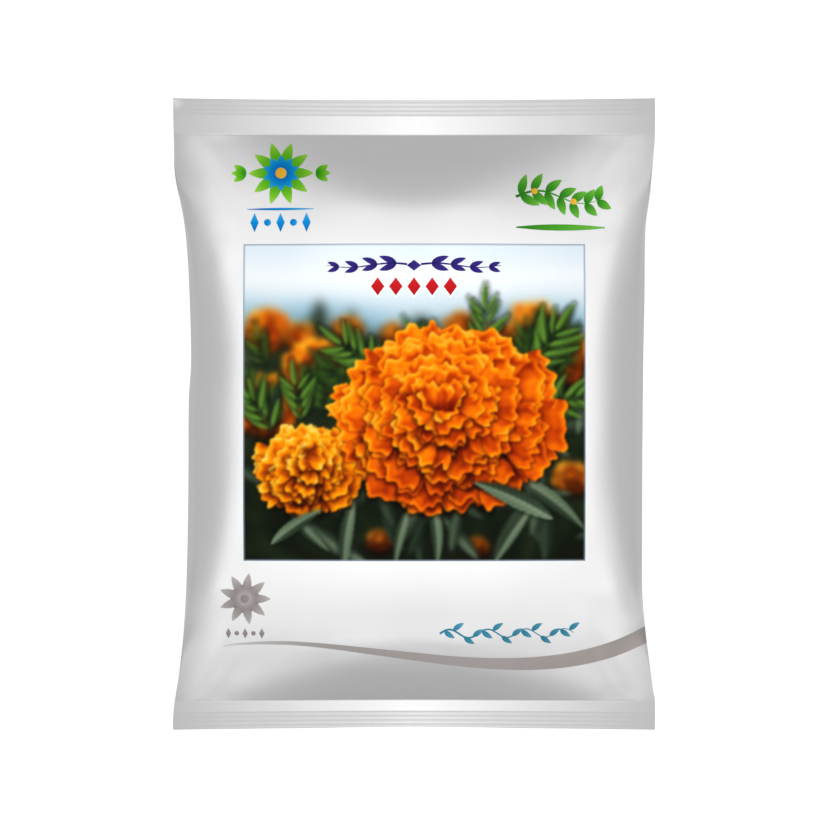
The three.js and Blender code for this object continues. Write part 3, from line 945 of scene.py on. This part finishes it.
def paintPicture():
    blurs = iter(garden["blurs"])
    canvas = paintBackdrop()
    for _ in range(farLeaf["count"]):
        place = somewhere(farLeaf)
        lit = blendOf(farLeaf["lowTone"], 1, risen(place[1], farLeaf["paleSpan"]))
        tone = between(*farLeaf["tone"]) * lit
        turn, length, width, bend = (between(*farLeaf[key]) for key in ("turn", "length", "width", "bend"))
        paintLeaf(canvas, place, turn, length, width, bend, deepGreen, tone)
    canvas = blurred(canvas, next(blurs))
    for x, y, radius in garden["farBlooms"]:
        paintBloom(canvas, (x, y), radius, 0.8, (0, 0.25), radius * 0.8, orange, between(1.0, 1.25))
    canvas = blurred(canvas, next(blurs))
    for x, y, radius in garden["midBlooms"]:
        paintBloom(canvas, (x, y), radius, 0.85, (0, 0.25), radius * 0.5, orange, 1.02)
    canvas = blurred(canvas, next(blurs))
    for _ in range(bush["count"]):
        place = somewhere(bush)
        size, turn, tone = (between(*bush[key]) for key in ("leaflet", "turn", "tone"))
        paintFrond(canvas, place, turn, size * 1.3, size, freshGreen, tone, bush["soft"])
    for _ in range(midLeaf["count"]):
        place = somewhere(midLeaf)
        length, turn, bend, tone = (between(*midLeaf[key]) for key in ("length", "turn", "bend", "tone"))
        paintLeaf(canvas, place, turn, length, length * midLeaf["slender"], bend, greyGreen, tone)
    canvas = blurred(canvas, next(blurs))
    # Leaves nearly in focus grow out from behind the two near blooms.
    for x, y, turn, size in garden["fronds"]:
        paintFrond(canvas, (x, y), turn, size * 1.3, size, freshGreen, 0.95, 0.5)
    for x, y, turn, length, bend in garden["stems"]:
        paintLeaf(canvas, (x, y), turn, length, length * 0.2, bend, greyGreen, 0.95, 11, 0.5)
    canvas = blurred(canvas, next(blurs))
    for values in garden["nearBlooms"]:
        paintBloom(canvas, *values)
    for values in garden["nearLeaves"]:
        paintLeaf(canvas, *values)
    return np.clip(blurred(canvas, next(blurs)), 0, 1)


def makePicture():
    x, y = np.meshgrid(canvasX, canvasY)
    points = onFront(x, y, picture["lift"])
    piece = makeMesh("picture_print", points, gridFaces(*x.shape), pictureInk)
    canvas = paintPicture()
    for row in (1, 0):
        cover = pictureBorder["covers"][row]
        for edge in (np.s_[row, :], np.s_[-1 - row, :], np.s_[:, row], np.s_[:, -1 - row]):
            canvas[edge] = blendOf(canvas[edge], hexColour(pictureBorder["colour"]), cover)
    paintPoints(piece, canvas)
    bakeMap = piece.data.uv_layers.new(name="OFBake")
    u, v = np.meshgrid(np.linspace(0, 1, len(canvasX)), np.linspace(0, 1, len(canvasY)))
    places = np.stack([u, v], axis=-1).reshape(-1, 2)
    corners = np.empty(len(piece.data.loops), np.int32)
    piece.data.loops.foreach_get("vertex_index", corners)
    bakeMap.uv.foreach_set("vector", places[corners].astype(np.float32).ravel())


makePicture()
print("picture printed")

# Printed ornaments: strips of ink along smooth paths, each as wide as the third number of its path says.
mark = {"lift": 0.045, "layerStep": 0.008, "across": 3, "tip": 0.03}
leafGreens = ("2f9a1c", "63c321", "a6e24a")
gardenGreens = ("2c7f1d", "4fa82e", "7cc94c")
blues = ("0a6fc0", "0a90dc", "38aeec")
violets = ("2b1f6b", "3d2c86")
reds = ("b3151b", "d6232a")
teals = ("2f7d98", "3f8ca5", "5aa5ba")
greys = ("8f8785", "a19a98", "bdb8b6")
yellows = ("f5b02a", "ffd24a")
whites = ("ffffff", "ffffff")


# The flat grid of a strip, square to its path, or upright for the wide stripe.
def ribbon(path, upright=False):
    along = np.gradient(path[:, :2], axis=0)
    along /= np.linalg.norm(along, axis=1)[:, None]
    aside = np.array([[0, 1.0]]) if upright else np.stack([-along[:, 1], along[:, 0]], axis=1)
    share = np.linspace(0.5, -0.5, mark["across"] + 1)[None, :, None]
    return path[:, None, :2] + aside[:, None, :] * share * path[:, 2][:, None, None]


def turnedRibbon(root, turn, along, aside, width):
    x = root[0] + along * np.cos(turn) - aside * np.sin(turn)
    y = root[1] + along * np.sin(turn) + aside * np.cos(turn)
    return ribbon(np.stack([x, y, np.maximum(width, mark["tip"]) + 0 * x], axis=1))


# Strips are (flat grid, colours along it, layer); a higher layer lies over the others.
def leaf(root, turn, length, width, colours, layer=0, bend=0.0):
    t = np.linspace(0, 1, 13)
    flat = turnedRibbon(root, turn, t * length, bend * length * t * t, width * np.sin(np.pi * t**0.8) ** 0.8)
    return (flat, colours, layer)


def dot(centre, radius, colours, layer=0):
    t = np.cos(np.linspace(np.pi, 0, 13))
    return (turnedRibbon(centre, 0, t * radius, 0 * t, 2 * radius * np.sqrt(1 - t * t)), colours, layer)


def diamond(centre, length, width, colours, layer=0, turn=np.pi / 2):
    t = np.linspace(-1, 1, 9)
    return (turnedRibbon(centre, turn, t * length / 2, 0 * t, width * (1 - np.abs(t))), colours, layer)


# A row of upright diamonds with dots between them, as its place, pitch, height, width and colours.
def diamondRow(ornament):
    y, pitch, height, width, colours = ornament["row"]
    strips = []
    for i in (-2, -1, 0, 1, 2):
        place = (ornament["centre"][0] + i * pitch, y)
        strips.append(dot(place, width * 0.42, colours) if i % 2 else diamond(place, height, width, colours))
    return strips


# A bar that tapers to both ends.
def taperedBar(middle, half, width, colours):
    bar = [(middle[0] + half * t, middle[1], width * (1 - 0.8 * t * t)) for t in (-1, -0.5, 0, 0.5, 1)]
    return (ribbon(smoothPath(bar, 30)), colours, 0)


# A stem in waves, which the ornament's own values give, thinner along it.
def wavyStem(line, x, share, thick, turns=1):
    y = line["y"] + line["wave"] * np.sin(share * turns * 2 * np.pi)
    return np.stack([x, y, line["stem"] * thick], axis=1)


# A daisy-like rosette: a ring of petals, a smaller ring over it and a round eye.
def rosette(ornament):
    (x, y), radius, petals = ornament["centre"], ornament["radius"], ornament["petals"]
    outer, inner, eye = ornament["colours"]
    strips = []
    for ring, (reach, width, colours) in enumerate([(0.9, 0.34, outer), (0.46, 0.26, inner)]):
        for i in range(petals):
            turn = 2 * np.pi * (i + ring / 2) / petals
            root = (x + 0.1 * radius * np.cos(turn), y + 0.1 * radius * np.sin(turn))
            strips.append(leaf(root, turn, radius * reach, radius * width, colours, ring * 2 + i % 2))
    return strips + [dot((x, y), radius * 0.17, eye, 5)]


def makeMark(name, strips):
    points, colours, faces = [], [], []
    first = 0
    for flat, codes, layer in strips:
        lift = mark["lift"] + layer * mark["layerStep"]
        points.append(onFront(flat[..., 0], flat[..., 1], lift).reshape(-1, 3))
        colours.append(np.repeat(ramp(np.linspace(0, 1, len(flat)), codes), flat.shape[1], axis=0))
        faces.append(gridFaces(*flat.shape[:2], first=first))
        first += flat.shape[0] * flat.shape[1]
    piece = makeMesh(name, np.concatenate(points), np.concatenate(faces), markInk)
    paintPoints(piece, np.concatenate(colours))


# A rosette between two fans of buds, over a bar and a row of diamonds.
crest = {
    "centre": (-31.7, 57.4), "radius": 7.8, "petals": 10, "colours": (leafGreens, blues, yellows),
    "budStart": 8.3, "budLength": 3.6, "budWidth": 1.7, "budSplay": 0.6,
    "row": (45.5, 3.1, 4.6, 2.0, blues), "bar": (48.7, 8.0, 0.6),
}


def makeCrest():
    x, y = crest["centre"]
    strips = rosette(crest)
    for hand, facing in ((1, 0), (-1, np.pi)):
        for splay in (-crest["budSplay"], 0, crest["budSplay"]):
            root = (x + hand * crest["budStart"], y)
            strips.append(leaf(root, facing + splay, crest["budLength"], crest["budWidth"], leafGreens))
    barY, half, width = crest["bar"]
    makeMark("crest_print", strips + diamondRow(crest) + [taperedBar((x, barY), half, width, blues)])


# A leafy branch in a shallow wave, with yellow buds, over a bar.
garland = {
    "sides": (24.2, 45.4), "y": 51.6, "wave": 1.5, "stem": 0.55,
    "leaves": 7, "leafLength": 5.2, "leafWidth": 2.1, "splay": 1.0, "bend": 0.12, "bud": 0.75,
    "barY": 44.3, "barWidth": 1.5,
}


def makeGarland():
    left, right = garland["sides"]
    half = (right - left) / 2
    share = np.linspace(0, 1, 60)
    path = wavyStem(garland, blendOf(left, right, share), share, 1.2 - share)
    strips = [(ribbon(path), gardenGreens, 0)]
    for i in range(garland["leaves"]):
        at = path[int((i + 0.4) / garland["leaves"] * len(path))]
        size = garland["leafLength"] * (1 - 0.3 * i / garland["leaves"])
        slope = np.arctan(garland["wave"] * np.pi * np.cos((at[0] - left) / half * np.pi) / half)
        for hand in (-1, 1):
            turn, bend = slope + hand * garland["splay"], -garland["bend"] * hand
            strips.append(leaf(at[:2], turn, size, garland["leafWidth"], gardenGreens, 1 + i % 2, bend))
        if i % 3 == 1:
            strips.append(dot((at[0] + 0.5, at[1]), garland["bud"], yellows, 4))
    bar = taperedBar((left + half, garland["barY"]), half, garland["barWidth"], gardenGreens)
    makeMark("garland_print", strips + [bar])


# A flourish over a row of outlined diamonds, on the picture's sky.
flourish = {
    "y": 35.2, "half": 20.6, "wave": 0.5, "stem": 0.42,
    "leafPlaces": (0.2, 0.42, 0.64, 0.86), "leafLength": 4.4, "leafWidth": 1.5, "diamond": (3.4, 2.6),
    "rowY": 30.2, "rowPitch": 4.3, "rowHeight": 4.3, "rowWidth": 3.2, "outline": 0.9,
}


def makeFlourish():
    y = flourish["y"]
    strips = [diamond((0, y), *flourish["diamond"], violets, 2, 0)]
    share = np.linspace(0.08, 1, 40)
    for hand, facing in ((1, 0), (-1, np.pi)):
        path = wavyStem(flourish, hand * flourish["half"] * share, share, 1.3 - share)
        strips.append((ribbon(path), violets, 0))
        for t in flourish["leafPlaces"]:
            root = (hand * flourish["half"] * t, y + flourish["wave"] * np.sin(2 * np.pi * t))
            size, width = flourish["leafLength"] * (1.1 - 0.5 * t), flourish["leafWidth"] * (1.1 - 0.4 * t)
            for side in (-0.5, 0.5):
                strips.append(leaf(root, facing + side, size, width, violets, 1, -0.24 * side))
    tall, wide, edge = flourish["rowHeight"], flourish["rowWidth"], flourish["outline"]
    for i in (-2, -1, 0, 1, 2):
        place = (i * flourish["rowPitch"], flourish["rowY"])
        strips.append(diamond(place, tall + 1.3 * edge, wide + edge, whites, abs(i) % 2))
        strips.append(diamond(place, tall, wide, reds, 3))
    makeMark("heading_print", strips)


smallCrest = {
    "centre": (-40.2, -43.9), "radius": 6.2, "petals": 9, "colours": (greys, greys[::-1], greys[:2]),
    "row": (-52.2, 2.0, 2.5, 1.3, greys[:2]),
}


def makeSmallCrest():
    makeMark("small_crest_print", rosette(smallCrest) + diamondRow(smallCrest))


vine = {
    "sides": (6.1, 38.0), "y": -52.0, "wave": 1.0, "turns": 3.5, "stem": 0.42,
    "leaves": 14, "leafLength": 3.0, "leafWidth": 1.25, "splay": 0.75, "bend": 0.2,
}


def makeVine():
    share = np.linspace(0, 1, 90)
    path = wavyStem(vine, blendOf(*vine["sides"], share), share, 1.15 - 0.7 * share, vine["turns"])
    strips = [(ribbon(path), teals, 0)]
    for i in range(vine["leaves"]):
        at = path[int((i + 0.5) / vine["leaves"] * len(path))]
        turn = vine["splay"] if i % 2 else -vine["splay"]
        bend = -vine["bend"] * turn
        strips.append(leaf(at[:2], turn, vine["leafLength"], vine["leafWidth"], teals, 1, bend))
    makeMark("vine_print", strips)


# The stripe ends just short of the side fold.
def makeStripe():
    flat = ribbon(smoothPath(stripe["path"], stripe["steps"]), upright=True)
    flat[..., 0] = np.minimum(flat[..., 0], rightEdge(flat[..., 1]) - stripe["foldGap"])
    makeMark("stripe_print", [(flat, stripe["colours"], 0)])


makeCrest()
makeGarland()
makeFlourish()
makeSmallCrest()
makeVine()
makeStripe()
print("ornaments printed")

# The seeds: ribbed achenes with a tuft of straw scales, in a drift on the inside of the back.
seed = {
    "count": 66, "length": 7, "radius": 0.55, "neck": 0.32, "sides": 8, "rings": 9, "ribDepth": 0.16,
    "tuftLength": 4, "tuftRadius": 0.22, "tuftSplay": 0.16, "tuftScales": 3, "tuftSteps": 6, "tuftFlat": 0.45,
    "tilt": 0.16, "gap": 0.3, "driftCentre": (24, -2), "driftHalf": (14.5, 21),
    "driftPile": 1.9, "driftCover": 0.9, "driftOrder": 34, "goldenAngle": 2.39996,
}
huskGrain = {
    "Colour": (0.022, 0.016, 0.012, 1), "Mottle": 0.9, "Roughness": 0.68, "Roughness Spread": 0.3,
    "Grain Size": 2600, "Bump": 0.5,
}
strawGrain = {
    "Colour": (0.52, 0.38, 0.2, 1), "Mottle": 0.5, "Roughness": 0.6, "Roughness Spread": 0.2,
    "Grain Size": 3000, "Bump": 0.4,
}


def randomFrom(state):
    while True:
        state = (state * 1664525 + 1013904223) % 2**32
        yield state / 2**32


# Height of the highest part of the film's inside under a seed.
def bedUnder(x, y, turn):
    along = (seed["length"] / 2 + seed["tuftLength"]) * np.array([-1, -0.5, 0, 0.5, 1])
    bed = plainBack(x + along * np.cos(turn), y + along * np.sin(turn))
    return max(0, np.max(bed + packet["wall"]))


def turned(points, roll, tilt, turn):
    x, y, z = points.T
    y, z = y * np.cos(roll) - z * np.sin(roll), y * np.sin(roll) + z * np.cos(roll)
    x, z = x * np.cos(tilt) + z * np.sin(tilt), z * np.cos(tilt) - x * np.sin(tilt)
    x, y = x * np.cos(turn) - y * np.sin(turn), x * np.sin(turn) + y * np.cos(turn)
    return np.stack([x, y, z], axis=-1)


# Rings of points along +X, closed at both ends.
def taperedRod(places, radii, sides, ribs=0.0, flat=1.0):
    turns = np.arange(sides) * 2 * np.pi / sides
    swell = (1 - ribs * (np.arange(sides) % 2)) * np.asarray(radii)[:, None]
    x = np.repeat(np.asarray(places)[:, None], sides, axis=1)
    points = np.stack([x, swell * np.cos(turns), swell * np.sin(turns) * flat], axis=-1).reshape(-1, 3)
    faces = [list(range(sides))[::-1], [(len(places) - 1) * sides + i for i in range(sides)]]
    for ring in range(len(places) - 1):
        for i in range(sides):
            a, b = ring * sides + i, ring * sides + (i + 1) % sides
            faces.append([a, b, b + sides, a + sides])
    return points, faces


def seedShapes():
    share = np.linspace(0, 1, seed["rings"])
    radii = blendOf(seed["neck"], seed["radius"], share**0.7) * np.sin(np.pi * (0.12 + 0.76 * share)) ** 0.25
    shapes = [taperedRod((share - 0.5) * seed["length"], radii, seed["sides"], seed["ribDepth"])]
    share = np.linspace(0, 1, seed["tuftSteps"])
    radii = seed["tuftRadius"] * (1 - share) ** 0.8 + 0.02
    rod, faces = taperedRod(share * seed["tuftLength"], radii, 6, flat=seed["tuftFlat"])
    leant = turned(rod, 0, -seed["tuftSplay"], 0)
    for i in range(seed["tuftScales"]):
        scale = turned(leant, i / seed["tuftScales"] * 2 * np.pi, 0, 0)
        shapes.append((scale + (seed["length"] / 2 - seed["radius"], 0, 0), faces))
    return shapes


def makeSeeds():
    random = randomFrom(seed["driftOrder"])
    shapes = seedShapes()
    points, faces, kinds = [], [], []
    first = 0
    for i in range(seed["count"]):
        out = seed["driftCover"] * np.sqrt((i + 0.5) / seed["count"])
        x = seed["driftCentre"][0] + seed["driftHalf"][0] * out * np.cos(i * seed["goldenAngle"])
        y = seed["driftCentre"][1] + seed["driftHalf"][1] * out * np.sin(i * seed["goldenAngle"])
        turn = next(random) * 2 * np.pi
        tilt = (next(random) - 0.5) * seed["tilt"]
        lift = next(random) * seed["driftPile"] * (1 - out * out)
        low = abs(np.sin(tilt)) * (seed["length"] / 2 + seed["tuftLength"])
        z = bedUnder(x, y, turn) + seed["gap"] + seed["radius"] + low + lift
        for kind, (shape, shapeFaces) in enumerate(shapes):
            points.append(turned(shape, next(random) * np.pi, tilt, turn) + (x, y, z))
            faces += [[first + corner for corner in face] for face in shapeFaces]
            kinds += [min(kind, 1)] * len(shapeFaces)
            first += len(shape)
    husk = grainMaterial("seed_husk", {"IOR": 1.45}, huskGrain)
    straw = grainMaterial("seed_straw", {"IOR": 1.45}, strawGrain)
    piece = makeMesh("seeds", np.concatenate(points), faces, husk, sharp=35)
    piece.data.materials.append(straw)
    piece.data.polygons.foreach_set("material_index", kinds)
    return piece


seedPiece = makeSeeds()
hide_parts("seed_drift")
print("seeds laid")

# Floor, lights and world, in metres and watts. The floor looks evenly bright to the camera, with a share of
# its real shadow, and the backdrop is brighter to the camera than the light it gives.
stage = {
    "floorSide": 6.0, "floorShade": 0.86, "shadow": 0.25, "backdrop": 1.25, "fill": 0.393,
    "boxSide": 0.8, "boxHeight": 0.85, "boxPower": 3.13,
}


def makeFloor():
    mesh = bpy.data.meshes.new("floor")
    half = stage["floorSide"] / 2
    corners = [(-half, -half, 0), (half, -half, 0), (half, half, 0), (-half, half, 0)]
    mesh.from_pydata(corners, [], [(0, 1, 2, 3)])
    floor = addObject("floor", mesh)
    white = (stage["floorShade"], stage["floorShade"], stage["floorShade"], 1)
    material, tree, surface = newMaterial("floor", {"Base Color": white, "Roughness": 0.9})
    glow = addNode(tree, "ShaderNodeEmission", {"Color": (1, 1, 1, 1), "Strength": stage["backdrop"]})
    seen = addNode(tree, "ShaderNodeLightPath").outputs["Is Camera Ray"]
    share = addNode(tree, "ShaderNodeMath", {0: seen, 1: 1 - stage["shadow"]}, operation="MULTIPLY")
    shaders = {"Fac": share.outputs[0], 1: surface.outputs["BSDF"], 2: glow.outputs["Emission"]}
    mix = addNode(tree, "ShaderNodeMixShader", shaders)
    tree.links.new(mix.outputs["Shader"], tree.nodes["Material Output"].inputs["Surface"])
    mesh.materials.append(material)


def makeLights():
    world = bpy.data.worlds.new("world")
    bpy.context.scene.world = world
    world.use_nodes = True
    background = world.node_tree.nodes["Background"]
    background.inputs["Color"].default_value = (1, 1, 1, 1)
    seen = addNode(world.node_tree, "ShaderNodeLightPath").outputs["Is Camera Ray"]
    levels = {"Value": seen, "To Min": stage["fill"], "To Max": stage["backdrop"]}
    level = addNode(world.node_tree, "ShaderNodeMapRange", levels)
    world.node_tree.links.new(level.outputs["Result"], background.inputs["Strength"])
    light = bpy.data.lights.new("soft_box", "AREA")
    light.shape = "SQUARE"
    light.size = stage["boxSide"]
    light.energy = stage["boxPower"]
    addObject("soft_box", light).location = (0, 0, stage["boxHeight"])


makeFloor()
makeLights()
print("stage set")
